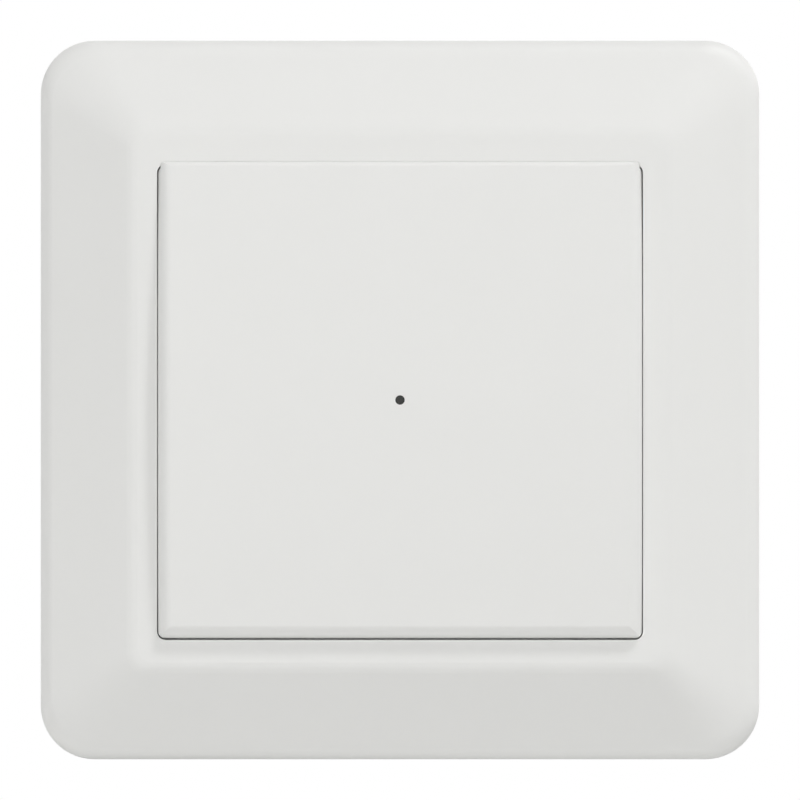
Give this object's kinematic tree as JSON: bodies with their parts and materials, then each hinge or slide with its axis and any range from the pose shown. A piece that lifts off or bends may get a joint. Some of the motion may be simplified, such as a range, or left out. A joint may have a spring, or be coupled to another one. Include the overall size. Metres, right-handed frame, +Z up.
{
  "type": "pushbutton dimmer switch",
  "caption": "Square flush wall dimmer: bevelled cover frame, one large top-hinged pushbutton with a small round indicator, steel support plate and a wired rear housing.",
  "frame": {"origin": "middle of the box screws, on the wall plane that the support plate and the frame's rim lie on", "axes": "+X to the right and +Z up as seen by the user, +Y into the wall"},
  "size_m": [0.084, 0.034, 0.084],
  "materials": {
    "cover_plastic": "off-white moulded plastic with a fine satin texture",
    "smoked_guide": "smoky clear rod, unlit",
    "carrier_plastic": "light grey moulded plastic",
    "dark_plastic": "dark grey flame-retardant moulding, matt",
    "zinc_plated_steel": "stamped steel, zinc plated",
    "screw_steel": "zinc plated screw steel",
    "spring_steel": "bright spring steel",
    "board_laminate": "green glass laminate with solder mask",
    "black_moulding": "black moulded package",
    "lamp_lens": "pale lamp lens",
    "soft_pad": "grey thermal pad",
    "spreader_aluminium": "mill finish sheet",
    "capacitor_case": "yellow moulded case",
    "ferrite": "ground ferrite",
    "copper_wire": "enamelled copper wire",
    "can_sleeve": "sleeved can",
    "fuse_case": "brown moulded case",
    "varistor_coat": "blue dipped coat",
    "terminal_brass": "plain brass"
  },
  "bodies": {
    "base": {"cover_frame": "cover_plastic", "front_housing": "carrier_plastic", "support_plate": "zinc_plated_steel", "rear_housing": "dark_plastic", "housing_screws": "screw_steel", "return_spring_left": "spring_steel", "return_spring_right": "spring_steel", "control_board": "board_laminate", "tact_switch_body": "black_moulding", "tact_switch_cover": "spring_steel", "status_led": "lamp_lens", "microcontroller": "black_moulding", "voltage_regulator": "black_moulding", "board_connector": "black_moulding", "power_board": "board_laminate", "transistor_left": "black_moulding", "transistor_right": "black_moulding", "thermal_pad": "soft_pad", "heat_spreader": "spreader_aluminium", "film_capacitor": "capacitor_case", "choke_core": "ferrite", "choke_winding": "copper_wire", "reservoir_capacitor": "can_sleeve", "fuse": "fuse_case", "varistor": "varistor_coat", "terminal_clamp_1": "terminal_brass", "terminal_clamp_2": "terminal_brass", "terminal_clamp_3": "terminal_brass", "terminal_clamp_4": "terminal_brass", "terminal_screws": "screw_steel"},
    "button": {"button_cap": "cover_plastic", "light_guide": "smoked_guide"},
    "plunger": {"tact_plunger": "black_moulding"}
  },
  "joints": [
    {"name": "button_press", "type": "hinge", "parent": "base", "child": "button", "pos_m": [0, -0.0061, 0.0235], "axis": [1, 0, 0], "range_deg": [0, 0.9], "stiffness_Nm_per_rad": 3.6, "springref_deg": -0.48, "deforming": ["return_spring_left", "return_spring_right"]},
    {"name": "tact_plunger_travel", "type": "slide", "parent": "base", "child": "plunger", "axis": [0, 1, 0], "range_m": [0, 0.0005]}
  ],
  "couplings": [
    {"joint": "tact_plunger_travel", "follows": "button_press", "m_per_rad": 0.0315}
  ]
}
